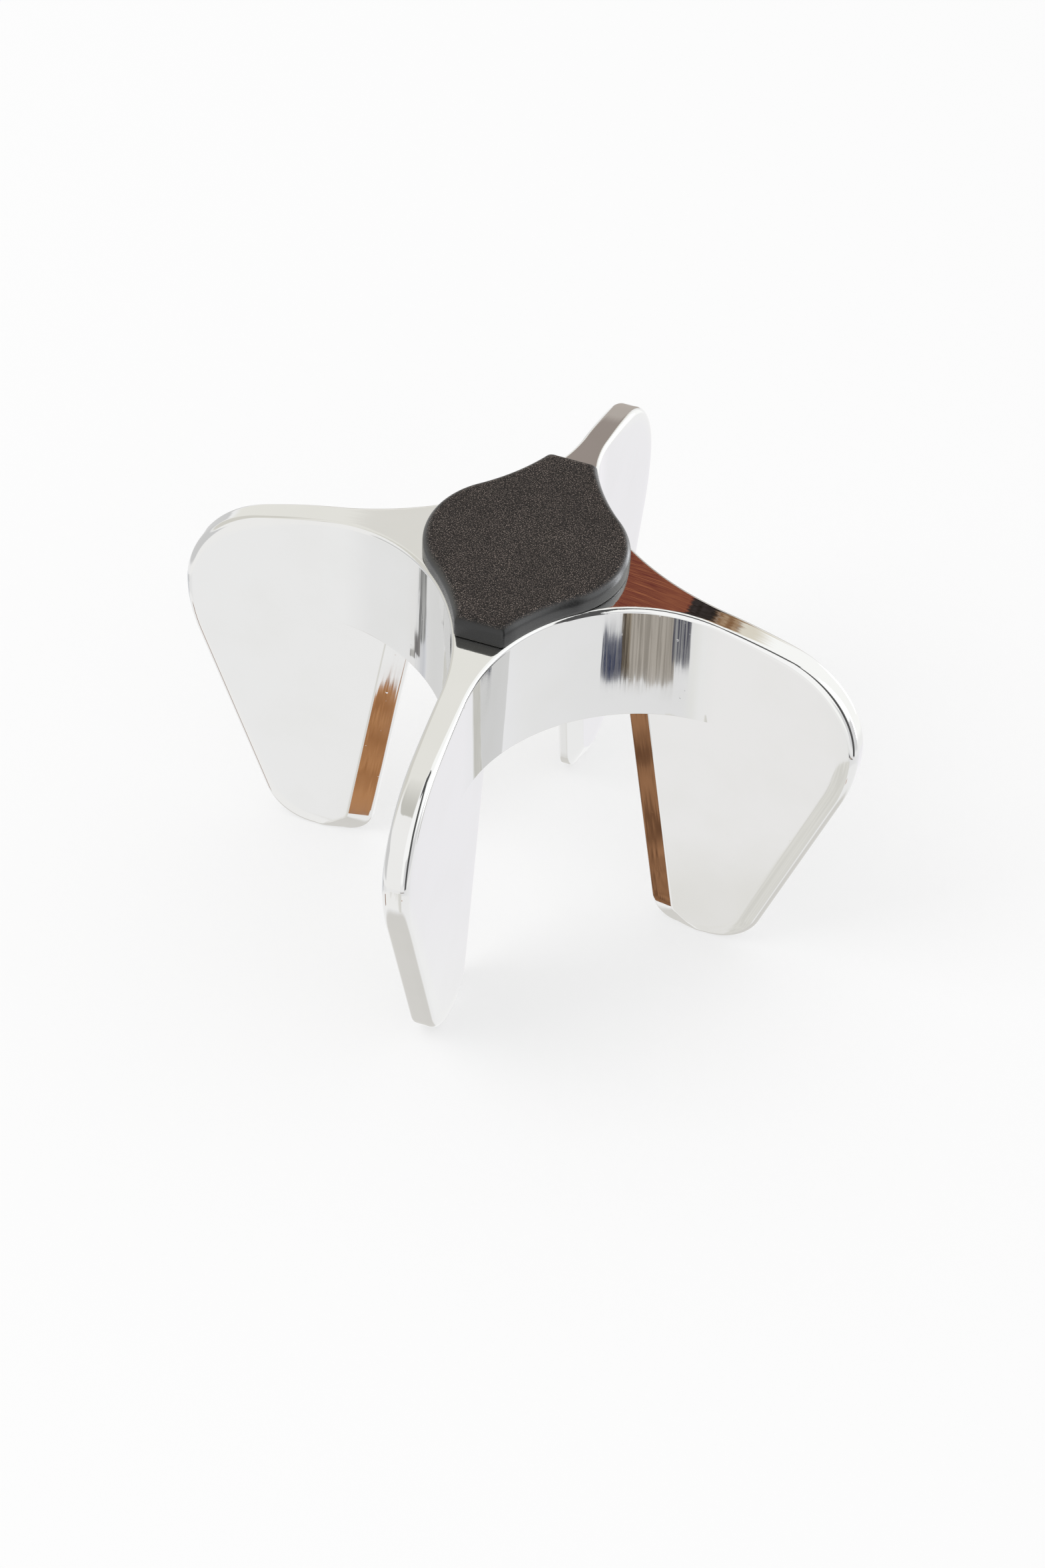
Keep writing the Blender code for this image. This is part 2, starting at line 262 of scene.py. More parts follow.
chrome = {
    "plate": (0.80, 0.80, 0.795),      # clean plating
    "haze": (0.785, 0.785, 0.775),     # thinner plating and handling haze
    "hazeSize": 160.0,                 # clouds of haze per metre
    "hazeNoise": (0.45, 0.75),         # noise values between which the haze's colour sets in
    "roughNoise": (0.38, 0.72),
    "rough": (0.012, 0.034),
    "waveSize": 95.0,                  # soft casting waves per metre
    "waveDepth": 0.000003,
    "broadLines": 1300.0,              # polishing lines per metre across each wing
    "broadDepth": 0.000009,
    "fineLines": 3600.0,
    "fineDepth": 0.0000042,
    "lineStretch": 0.02,               # share of those cycles along the lines
    "lineTurn": 0.0002,                # half width of the blend over the diagonal, in metres
    "pitSize": 1500.0,
    "pitNoise": (0.24, 0.19),
    "pitDepth": 0.0000006,
}


def polishLines(finish, scale):
    # Long lines that run along each wing and down the walls: noise that changes quickly across
    # the wing only, chosen by the larger of |x| and |y| and blended over the diagonal.
    slow = chrome["lineStretch"]
    alongX = finish.noise(scale, 2.0, (slow, 1.0, slow))
    alongY = finish.noise(scale, 2.0, (1.0, slow, slow))
    x, y, _ = finish.split(finish.place())
    lead = finish.maths("SUBTRACT", finish.maths("ABSOLUTE", x), finish.maths("ABSOLUTE", y))
    onY = finish.remap(lead, chrome["lineTurn"], -chrome["lineTurn"])
    return finish.mix(onY, alongX, alongY, "FLOAT")


def chromeFinish():
    # Mirror plating over a polished casting: slow waves, polishing lines and a few pin pits.
    c = chrome
    finish = Finish("polishedChrome", c["plate"], 1.0, 0.02)
    finish.bump(finish.noise(c["waveSize"], 1.0), c["waveDepth"])
    finish.bump(polishLines(finish, c["broadLines"]), c["broadDepth"])
    finish.bump(polishLines(finish, c["fineLines"]), c["fineDepth"])
    pits = finish.noise(c["pitSize"], 1.0)
    finish.bump(finish.remap(pits, *c["pitNoise"], 0.0, -1.0), c["pitDepth"])
    haze = finish.noise(c["hazeSize"], 5.0)
    finish.put("Roughness", finish.remap(haze, *c["roughNoise"], *c["rough"]))
    amount = finish.remap(haze, *c["hazeNoise"])
    finish.put("Base Color", finish.mix(amount, c["plate"], c["haze"]))
    return finish.material


plastic = {
    "dark": (0.0050, 0.0035, 0.0030),
    "light": (0.280, 0.228, 0.200),    # pinpoint tops of the grain
    # the sides' smooth black without specks, darkened further as painted shade
    "side": (0.0060, 0.0060, 0.0065),
    "topGloss": 0.32,                  # strength of the reflections
    "lobeGloss": 1.0,
    "tabGloss": 0.60,
    "tabFrom": 0.0116,                 # distances from the middle, where the lobes' flanks end
    "tabTo": 0.0127,
    "topRough": (0.46, 0.62),
    "sideRough": (0.24, 0.34),         # the drawn sides are smoother than the spark-eroded top
    "sideFrom": 0.04500,               # heights between which the sides turn into the top
    "sideTo": 0.04526,
    "grainSize": 6000.0,               # grains per metre
    "grainDepth": 0.000032,
    "sideDepth": 0.000003,
    "speckSize": 9600.0,
    "speckNoise": (0.54, 0.72),        # the more noise lies over this, the more pale tops
    "toneSize": 240.0,                 # slow changes in tone per metre
    "toneNoise": (0.35, 0.65),
    "tones": (0.8, 1.15),
}


def capFinish():
    # Spark-eroded matt grain with pale pinpoint tops on the top face, satin sides below it whose
    # darker plain colour is partly their own black and partly painted shade, and a slow change in
    # tone.
    p = plastic
    finish = Finish("grainedPlastic", p["dark"], 0.0, 0.5)
    _, y, z = finish.split(finish.place())
    top = finish.remap(z, p["sideFrom"], p["sideTo"])
    grain = finish.noise(p["grainSize"], 2.0)
    finish.bump(grain, p["sideDepth"])
    finish.bump(finish.maths("MULTIPLY", grain, top), p["grainDepth"])
    specks = finish.remap(finish.noise(p["speckSize"], 1.0), *p["speckNoise"])
    tone = finish.remap(finish.noise(p["toneSize"], 3.0), *p["toneNoise"], *p["tones"])
    grained = finish.mix(finish.maths("MULTIPLY", specks, tone), p["dark"], p["light"])
    # The sides take their darker plain colour: partly their own black, partly painted shade.
    finish.put("Base Color", finish.mix(top, p["side"], grained))
    onSide = finish.remap(grain, *mottle, *p["sideRough"])
    onTop = finish.remap(grain, *mottle, *p["topRough"])
    finish.put("Roughness", finish.mix(top, onSide, onTop, "FLOAT"))
    sideGloss = finish.remap(finish.maths("ABSOLUTE", y), p["tabFrom"], p["tabTo"],
                             p["lobeGloss"], p["tabGloss"])
    finish.put("Specular IOR Level", finish.remap(top, 0.0, 1.0, sideGloss, p["topGloss"]))
    return finish.material


zinc = {
    "cool": (0.52, 0.53, 0.52),
    "warm": (0.66, 0.64, 0.58),
    "rough": (0.22, 0.42),
    "cloudSize": 1400.0,
    "scratchSize": 2500.0,             # scratches per metre
    "scratchStretch": 0.08,
    "scratchDepth": 0.000004,
}


def zincFinish():
    # Bright zinc plating: pale, faintly warm, mottled, with fine scratches across.
    finish = Finish("zincPlating", zinc["warm"], 1.0, 0.3)
    cloud = finish.noise(zinc["cloudSize"], 4.0)
    finish.put("Base Color", finish.mix(cloud, zinc["cool"], zinc["warm"]))
    finish.put("Roughness", finish.remap(cloud, *mottle, *zinc["rough"]))
    scratches = finish.noise(zinc["scratchSize"], 2.0, (1.0, zinc["scratchStretch"], 1.0))
    finish.bump(scratches, zinc["scratchDepth"])
    return finish.material


strip = {
    "dark": (0.46, 0.46, 0.45),
    "light": (0.62, 0.62, 0.60),
    "rough": (0.30, 0.50),
    "lineSize": 4000.0,                # rolling lines per metre
    "lineStretch": 0.03,
    "lineDepth": 0.000005,
}


def stripFinish():
    # Punched steel strip, with rolling lines along one way.
    finish = Finish("rolledSteel", strip["light"], 1.0, 0.4)
    lines = finish.noise(strip["lineSize"], 3.0, (strip["lineStretch"], 1.0, 1.0))
    finish.put("Base Color", finish.mix(lines, strip["dark"], strip["light"]))
    finish.put("Roughness", finish.remap(lines, *mottle, *strip["rough"]))
    finish.bump(lines, strip["lineDepth"])
    return finish.material


star = {
    "height": 43.2,
    "hubSeat": 29.0,           # level underside of the hub
    "crownFlat": 6.5,          # half length of the crown's level middle
    "crownRadius": 68.0,
    "crownAngle": 18.3,        # degrees of slope where the shoulder begins
    "shoulderRadius": 11.19,
    "bellyRadius": 18.4,
    "outerSlant": 21.4,        # degrees from upright
    "footRadius": 5.5,
    "halfThick": 1.35,         # at thickAt from the axis
    "thickAt": 18.0,
    "thickSlope": 0.0055,
    "wallMiddle": 20.64,       # the wall's centre lies this far out along both X and Y
    # Nine places round a wing's rim: its start beside the walls, the crown's end, the middle of
    # the shoulder, the ends of belly, slant, foot, flat and lower corner, and the seat.
    "rimEdge": (0.42, 0.62, 0.85, 0.85, 0.80, 0.50, 0.35, 0.18, 0.18),      # edge rounding
    "rimPillow": (0.0, 0.03, 0.06, 0.10, 0.10, 0.06, 0.01, 0.0, 0.0),       # the faces' fall
    "rimMargin": (1.2, 1.6, 2.0, 2.2, 2.2, 1.6, 1.4, 1.4, 1.4),             # width of that fall
    "seatEdge": 0.12,          # rounding at the walls' lower edge
    "noseHalf": 0.40,          # half width of the wedge's nose
    "noseAtSeat": 11.25,       # its distance from the axis at the seat
    "noseSpread": 4.4,         # how far the nose leans out between the seat and the table
    "wedgeStart": 0.3,         # on the flat, this far inside the foot
    "wedgeAtFlat": 1.85,       # width at the ends of the flat and the lower corner
    "wedgeAtCorner": 2.376,
    "wedgeWidth": 2.5,         # and at the seat
    "wedgeBlend": 0.10,        # half width of its soft crease
    "wedgeMargin": 0.38,       # the margin ends at least this far past the crease
    "cornerRadius": 3.0,       # lower corner between flat and nose
    "boreRadius": 1.9,
    "counterboreRadius": 3.7,
    "counterboreTop": 34.0,
    "boreEase": 0.25,          # chamfer at the counterbore's mouth
    "pocketRadius": 3.3,
    "pocketBottom": 38.2,
}


def planeHalf(x):
    # Half thickness of a wing: halfThick + thickSlope * (x - thickAt)
    return star["halfThick"] + star["thickSlope"] * (x - star["thickAt"])


def wallRadius():
    # Distance from the wall's centre to the wing's face, which the wall touches.
    slope = star["thickSlope"]
    middle = star["wallMiddle"]
    return (middle - planeHalf(middle)) / math.sqrt(1 + slope * slope)


def wallTouch():
    # Where the wall touches the face: middle + radius * slope / sqrt(1 + slope^2)
    slope = star["thickSlope"]
    return star["wallMiddle"] + wallRadius() * slope / math.sqrt(1 + slope * slope)


def halfWidth(x):
    # Half width of the star in plan at x: the wall's arc as far as it touches the face, then
    # the face.
    middle = star["wallMiddle"]
    past = np.minimum(x, wallTouch()) - middle
    arc = middle - np.sqrt(wallRadius() ** 2 - past ** 2)
    return np.where(x < wallTouch(), arc, planeHalf(x))


def crownArc(x, inset=0.0):
    # Height of the crown at x, moved into the metal by inset, and the slope angle there.
    radius = star["crownRadius"] - inset
    past = np.maximum(x - star["crownFlat"], 0.0)
    height = star["height"] - star["crownRadius"] + np.sqrt(radius ** 2 - past ** 2)
    return height, np.arcsin(past / radius)


def outlineAfterWall(first):
    # Rim of a wing as (x, z) points with outward normals, from x = first on the crown over the
    # shoulder, belly, slant and foot, round the lower inner corner and up the nose to the seat.
    s = star
    down = np.pi / 2
    tilt = math.radians(s["crownAngle"])
    slant = math.radians(s["outerSlant"])
    crownMiddle = (s["crownFlat"], s["height"] - s["crownRadius"])
    begin = math.asin((first - s["crownFlat"]) / s["crownRadius"])
    crown = arcPoints(crownMiddle, s["crownRadius"], down - begin, down - tilt, 14)
    x, z = crown[-1]
    r = s["shoulderRadius"]
    shoulderMiddle = (x - r * math.sin(tilt), z - r * math.cos(tilt))
    shoulder = arcPoints(shoulderMiddle, r, down - tilt, 0.0, 40)
    bellyMiddle = (shoulder[-1][0] - s["bellyRadius"], shoulder[-1][1])
    belly = arcPoints(bellyMiddle, s["bellyRadius"], 0.0, -slant, 14)
    x, z = belly[-1]
    f = s["footRadius"]
    across = (x * math.cos(slant) - (z - f) * math.sin(slant) - f) / math.cos(slant)
    foot = arcPoints((across, f), f, -slant, -down, 24)
    lean = math.atan(s["noseSpread"] / s["hubSeat"])
    c = s["cornerRadius"]
    atTable = s["noseAtSeat"] + s["noseSpread"]
    inner = atTable + c * (1 / math.cos(lean) - math.tan(lean))
    flat = linePoints((across, 0.0), (inner, 0.0), 14)
    corner = arcPoints((inner, c), c, -down, -np.pi + lean, 18)
    nose = linePoints(corner[-1], (s["noseAtSeat"], s["hubSeat"]), 30)
    slantLine = linePoints(belly[-1], foot[0], 12)
    runs = [crown, shoulder, belly, slantLine, foot, flat, corner, nose]
    turns = [down - begin, down - tilt, 0, -slant, -slant, -down, -down, -np.pi + lean, -np.pi]
    angles = [np.linspace(*turns[n:n + 2], len(run)) for n, run in enumerate(runs)]
    points = np.concatenate([run[n > 0:] for n, run in enumerate(runs)])
    angle = np.concatenate([a[n > 0:] for n, a in enumerate(angles)])
    kind = np.concatenate([np.full(len(run) - (n > 0), n) for n, run in enumerate(runs)])
    return points, angle, kind, inner, across


def edgeSettings(points, kind, inner, across):
    # Edge radius, pillow depth, margin width and wedge width at each rim point: the values at
    # the nine places, joined by straight lines along the rim.
    s = star
    x, z = points[:, 0], points[:, 1]
    run = np.concatenate([[0.0], np.cumsum(np.hypot(np.diff(x), np.diff(z)))])
    ends = [run[np.flatnonzero(kind == n)[-1]] for n in range(8)]
    shoulderStart = run[np.flatnonzero(kind == 1)[0]]
    knots = [run[0], ends[0], (shoulderStart + ends[1]) / 2, *ends[2:]]
    edge, pillow, margin = (np.interp(run, knots, s[name])
                            for name in ("rimEdge", "rimPillow", "rimMargin"))
    # The wedge widens along the flat, round the lower corner and up the nose.
    start = across - s["wedgeStart"]
    low, mid, full = s["wedgeAtFlat"], s["wedgeAtCorner"], s["wedgeWidth"]
    onFlat = low * np.clip((start - x) / (start - inner), 0.0, 1.0) ** 1.5
    cornerShare = np.clip((run - ends[5]) / (ends[6] - ends[5]), 0, 1)
    onCorner = low + (mid - low) * np.sin(cornerShare * np.pi / 2)
    onNose = mid + (full - mid) * np.clip((run - ends[6]) / (ends[7] - ends[6]), 0, 1)
    wedge = np.select([kind < 5, kind == 5, kind == 6], [0.0 * x, onFlat, onCorner], onNose)
    return edge, pillow, np.maximum(margin, wedge + s["wedgeMargin"]), wedge


def wedgeSlope():
    # From noseHalf to the face line over the wedge's width at the seat.
    width = star["wedgeWidth"]
    return (planeHalf(star["noseAtSeat"] + width) - star["noseHalf"]) / width


def wedgeDrop(width, depth):
    # The wedge's fall at a depth from the rim: slope * (width - depth) near the nose, nothing
    # past the face line, and a short parabola between.
    blend = star["wedgeBlend"]
    left = width - depth
    curved = np.clip(left + blend, 0.0, None) ** 2 / (4 * blend)
    return wedgeSlope() * np.where(left > blend, left, np.where(left < -blend, 0.0, curved))


def slerp(first, second, steps):
    # Unit vectors that turn evenly from first to second, for whole arrays of pairs.
    cosine = np.clip((first * second).sum(-1), -1, 1)
    angle = np.arccos(cosine)[:, None, None]
    t = np.linspace(0, 1, steps + 1)[None, :, None]
    safe = np.maximum(np.sin(angle), 1e-9)
    return (np.sin((1 - t) * angle) * first[:, None] + np.sin(t * angle) * second[:, None]) / safe


def halfWing():
    # Half of one wing and its share of the hub, for y >= 0 and y <= x: a band of rows that runs
    # along the walls' upper edge and round the rim. A ball in the metal makes the rounding.
    s = star
    radius = wallRadius()
    middle = s["wallMiddle"]
    edge = s["rimEdge"][0]
    wallStations = 46
    roundSteps = 7
    levelStations = 10         # over which the crown's slope sets in
    gap = 0.35                 # from the last wall station to the first one of the rim
    tail = 0.12                # the last row lies this far past the margin
    hold = 0.15                # a row this close to the rounding keeps the rim's middle flat
    # Wall stations: the ball rolls along the offset wall, from the diagonal to the face.
    turn = np.linspace(np.pi * 1.25, np.pi * 1.5 + math.atan(s["thickSlope"]), wallStations)
    ballX = middle + (radius + edge) * np.cos(turn)
    ballY = middle + (radius + edge) * np.sin(turn)
    ballZ, tilt = crownArc(ballX, edge)
    ballZ[0] = s["height"] - edge
    tilt = tilt * smoothStep(np.arange(wallStations) / levelStations)
    up = np.stack([np.sin(tilt), 0 * tilt, np.cos(tilt)], axis=1)
    side = np.stack([-np.cos(turn), -np.sin(turn), 0 * turn], axis=1)
    wallBall = np.stack([ballX, ballY, ballZ], axis=1)
    wallAcross = slerp(up, side, roundSteps) * edge + wallBall[:, None]
    # Rim stations: the ball touches the rim and the face.
    first = ballX[-1] + edge * math.sin(tilt[-1]) + gap
    points, angle, kind, inner, across = outlineAfterWall(first)
    rimEdge, pillow, margin, wedge = edgeSettings(points, kind, inner, across)
    out = np.stack([np.cos(angle), 0 * angle, np.sin(angle)], axis=1)
    pull = 2 * pillow / margin
    fall = pull * (1 - rimEdge / margin) + wedgeSlope() * smoothStep(wedge / 0.5)
    rock = np.arctan(fall)
    start = rimEdge * (1 - np.sin(rock))
    faceNormal = np.stack([-s["thickSlope"] + 0 * angle, 1 + 0 * angle, 0 * angle], axis=1)
    faceNormal = faceNormal * np.cos(rock)[:, None] + out * np.sin(rock)[:, None]
    faceNormal /= np.linalg.norm(faceNormal, axis=1)[:, None]
    startX = points[:, 0] - start * out[:, 0]
    startZ = points[:, 1] - start * out[:, 2]
    startY = planeHalf(startX) - pillow * (1 - start / margin) ** 2 - wedgeDrop(wedge, start)
    touch = np.stack([startX, startY, startZ], axis=1)
    ball = touch - rimEdge[:, None] * faceNormal
    rimAcross = slerp(out, faceNormal, roundSteps) * rimEdge[:, None, None] + ball[:, None]
    # Depth rows between the end of the rounding and the end of the margin. Where the wedge is
    # wide enough, they gather at its crease instead.
    even = np.array([0.12, 0.28, 0.46, 0.64, 0.80, 0.92, 1.0, 1.0])
    deep = start[:, None] + (margin - start)[:, None] * even
    deep[:, -1] += tail
    blend = s["wedgeBlend"]
    toLine = wedge - start
    crease = np.stack([start + 0.10 * toLine, start + 0.5 * toLine, wedge - blend,
                       wedge - 0.4 * blend, wedge + 0.4 * blend, wedge + blend,
                       wedge + 0.25, margin + tail], axis=1)
    share = smoothStep((wedge - 0.55) / 0.5)[:, None]
    deep = deep * (1 - share) + crease * share
    rowX = points[:, :1] - deep * out[:, :1]
    rowZ = points[:, 1:] - deep * out[:, 2:]
    fade = np.clip(1 - deep / margin[:, None], 0, None) ** 2
    rowY = planeHalf(rowX) - pillow[:, None] * fade - wedgeDrop(wedge[:, None], deep)
    rimRows = np.stack([rowX, rowY, rowZ], axis=2)
    # The same rows down the wall.
    wallEnd = wallAcross[:, -1]
    down = (s["rimMargin"][0] - edge) * even
    down[-1] += tail
    rowX = wallEnd[:, :1] - down * np.sin(tilt)[:, None]
    rowZ = wallEnd[:, 2:] - down * np.cos(tilt)[:, None]
    wallRows = np.stack([rowX, halfWidth(rowX), rowZ], axis=2)
    wallRows[0, :, 1] = wallRows[0, :, 0]
    # All stations of the band: middle of the rim, holding row, rounding, rows on the face.
    rounding = np.concatenate([wallAcross, rimAcross])
    rows = np.concatenate([wallRows, rimRows])
    top = rounding[:, 0]
    inward = np.minimum(hold, top[:, 1] * 0.3)
    rim = [top * [1, 0, 1], top * [1, 0.5, 1], top - inward[:, None] * [0, 1, 0]]
    return np.concatenate([np.stack(rim, axis=1), rounding, rows], axis=1), wallStations


def turned(points, quarter, mirror=1):
    # (x, mirror * y) turned about Z by quarter * 90 degrees.
    angle = quarter * np.pi / 2
    turn = np.array([[math.cos(angle), -math.sin(angle)], [math.sin(angle), math.cos(angle)]])
    points = np.array(points, float)
    points[..., :2] = (points[..., :2] * [1, mirror]) @ turn.T
    return points


def buildStar(material):
    # The half wing eight times over, mirrored and turned, closed by a level seat, a level top
    # and the turned bore between them.
    s = star
    band, wallStations = halfWing()
    seat = s["hubSeat"]
    inner = band[:, -1]
    last = int(np.flatnonzero(inner[:wallStations + 8, 0] > wallTouch())[0]) + 2
    # The wall below the band, with a rounded lower edge where it stands proud of the face.
    head = inner[:last + 1]
    proud = head[:, 1] - planeHalf(head[:, 0])
    ease = s["seatEdge"] * smoothStep(proud / 0.5)
    steps = 7
    share = np.linspace(0, 1, steps)[None, :]
    z = head[:, 2:] * (1 - share) + (seat + ease)[:, None] * share
    wall = np.concatenate([np.repeat(head[:, None, :2], steps, 1), z[:, :, None]], axis=2)
    toward = np.stack([s["wallMiddle"] - head[:, 0], s["wallMiddle"] - head[:, 1]], axis=1)
    toward /= np.linalg.norm(toward, axis=1)[:, None]
    a = np.linspace(0, np.pi / 2, 5)[1:]
    back = ease[:, None] * (1 - np.cos(a))
    roll = np.stack([head[:, :1] - back * toward[:, :1], head[:, 1:2] - back * toward[:, 1:],
                     (seat + ease)[:, None] - ease[:, None] * np.sin(a)], axis=2)
    wall = np.concatenate([wall, roll], axis=1)
    wall[0, :, 1] = wall[0, :, 0]
    lower = wall[:, -1]
    # The flat face of the wing inside the band, from where the wall touches it on the seat.
    meet = int(np.flatnonzero(lower[:, 0] > wallTouch())[0])
    face = np.concatenate([lower[meet:-1], wall[-1, ::-1], inner[last + 1:]])
    skin = Skin()
    for quarter in range(4):
        for mirror in (1, -1):
            skin.addGrid(turned(band, quarter, mirror))
            skin.addGrid(turned(wall, quarter, mirror))
            skin.addFace(turned(face, quarter, mirror))
    # The level seat goes along each wing's lower side, round its nose and back, and the level
    # top straight across each wing at the hub.
    side = np.concatenate([lower[:meet + 1], band[-1, ::-1]])
    side = np.concatenate([side * [1, -1, 1], side[::-1][1:]])
    corner = np.concatenate([band[0, 3::-1] * [1, -1, 1], band[0, 1:4]])
    seatLoop, topLoop = (np.concatenate([turned(part, quarter) for quarter in range(4)])
                         for part in (side, corner))
    boreCount = 64
    mouth = s["counterboreRadius"] + s["boreEase"]
    skin.addFlat(tidyLoop(seatLoop), mouth, boreCount, seat)
    skin.addFlat(tidyLoop(topLoop), s["pocketRadius"], boreCount, s["height"])
    bore = [(s["pocketRadius"], s["height"]), (s["pocketRadius"], s["pocketBottom"]),
            (s["boreRadius"], s["pocketBottom"]), (s["boreRadius"], s["counterboreTop"]),
            (s["counterboreRadius"], s["counterboreTop"]),
            (s["counterboreRadius"], seat + s["boreEase"]), (mouth, seat)]
    skin.addGrid(turnedGrid(bore, boreCount))
    return skin.build("castStar", material)


cap = {
    "top": 45.3,
    "lobeReach": 10.3,         # from the axis, along X
    "tabReach": 13.4,          # and along Y
    "flankRadius": 21.54,
    "flankMiddle": 22.2,       # the flank's centre lies this far out along both X and Y
    "edge": 0.9,               # rounding round the top
    "cornerRound": 0.50,       # tab corners in plan, at the foot of the wall
    "cornerTop": 1.05,         # the same at the top face
    "lowerEdge": 0.16,
    "topRing": 0.12,           # level ring inside the top's rounding
    "gap": 0.07,               # over the casting's crown
    "lip": 0.9,                # width of the strip that follows the crown
    "lipStep": 0.08,
    "bossRadius": 3.0,
    "bossEase": 0.3,
    "bossBottom": 38.5,
    "pilotRadius": 1.75,
    "pilotTop": 43.4,
}


def capPlan(inset):
    # Half outline, y from 0 on the lobe to the tab's middle, moved inwards by inset: the lobe's
    # circle, the flank's hollow circle, a corner round and the tab's straight end.
    c = cap
    middle = c["flankMiddle"]
    span = c["lobeReach"] + c["flankRadius"]
    lobeX = (span ** 2 - 2 * middle ** 2) / (2 * span - 2 * middle)
    toward = math.atan2(middle, middle - lobeX)
    lobe = arcPoints((lobeX, 0.0), c["lobeReach"] - lobeX - inset, 0.0, toward, 40)
    share = min(inset / c["edge"], 1.0)
    corner = c["cornerRound"] * (1 - share) + c["cornerTop"] * share
    reach = c["flankRadius"] + inset
    y = c["tabReach"] - inset - corner
    x = middle - math.sqrt((reach + corner) ** 2 - (middle - y) ** 2)
    turn = math.atan2(y - middle, x - middle)
    flank = arcPoints((middle, middle), reach, toward - math.pi, turn, 40)
    cornerArc = arcPoints((x, y), corner, turn + math.pi, math.pi / 2, 10)
    end = linePoints(cornerArc[-1], (0.0, c["tabReach"] - inset), 8)
    return np.concatenate([lobe, flank[1:], cornerArc[1:], end[1:]])


def capRing(inset, height):
    # The half outline and its mirror images over both axes, at one height or at one per point.
    quarter = capPlan(inset)
    half = np.concatenate([quarter, quarter[-2::-1] * [-1, 1]])
    plan = np.concatenate([half, half[-2:0:-1] * [1, -1]])
    return np.column_stack([plan, height + 0 * plan[:, 0]])


def underside(inset):
    # Height of the casting's crown under each point of a ring, plus the gap.
    plan = capRing(inset, 0.0)[:, :2]
    return crownArc(np.abs(plan).max(1))[0] + cap["gap"]


def buildCap(material):
    # Rings from the top down: (inset, height) goes round quarter circles at the upper and the
    # lower edge, then in over the crown to a level middle with a turned boss.
    c = cap
    a = np.linspace(0, np.pi / 2, 9)
    insets = np.append(c["edge"] + c["topRing"], c["edge"] * (1 - np.sin(a)))
    heights = np.append(c["top"], c["top"] - c["edge"] * (1 - np.cos(a)))
    rings = [capRing(inset, height) for inset, height in zip(insets, heights)]
    skin = Skin()
    skin.addSheet(rings[0], lambda x, y: c["top"])
    r = c["lowerEdge"]
    foot = underside(0.0) + r
    rings += [capRing(0.0, heights[-1] * (1 - t) + foot * t) for t in (0.35, 0.7)]
    rings += [capRing(r * (1 - math.cos(b)), foot - r * math.sin(b))
              for b in np.linspace(0, np.pi / 2, 5)]
    rings.append(capRing(c["lip"], underside(c["lip"])))
    level = star["height"] + c["gap"]
    rings.append(capRing(c["lip"] + c["lipStep"], level))
    rings = np.stack(rings)
    skin.addGrid(np.concatenate([rings, rings[:, :1]], axis=1))
    bossCount = 48
    skin.addFlat(rings[-1], c["bossRadius"], bossCount, level)
    boss = [(c["bossRadius"], level), (c["bossRadius"], c["bossBottom"] + c["bossEase"]),
            (c["bossRadius"] - c["bossEase"], c["bossBottom"]),
            (c["pilotRadius"], c["bossBottom"]), (c["pilotRadius"], c["pilotTop"]),
            (0.0, c["pilotTop"])]
    skin.addGrid(turnedGrid(boss, bossCount))
    return skin.build("mouldedCap", material)


screw = {
    "tip": 42.7,
    "root": 1.10,              # radii of the thread
    "crest": 1.45,
    "pitch": 1.0,
    "ridgeTop": 1.25,          # cut off at 1, which leaves a narrow land on the crest
    "ridgeSlope": 2.9,
    "ridgeFade": 0.8,          # length over which it sets in at either end
    "headTop": 32.8,
    "headRadius": 2.8,
    "headEdge": 0.2,
    "headLow": 30.8,
    "dome": 0.9,
    "recessLength": 3.0,
    "recessWidth": 0.7,
    "recessDepth": 1.1,
}


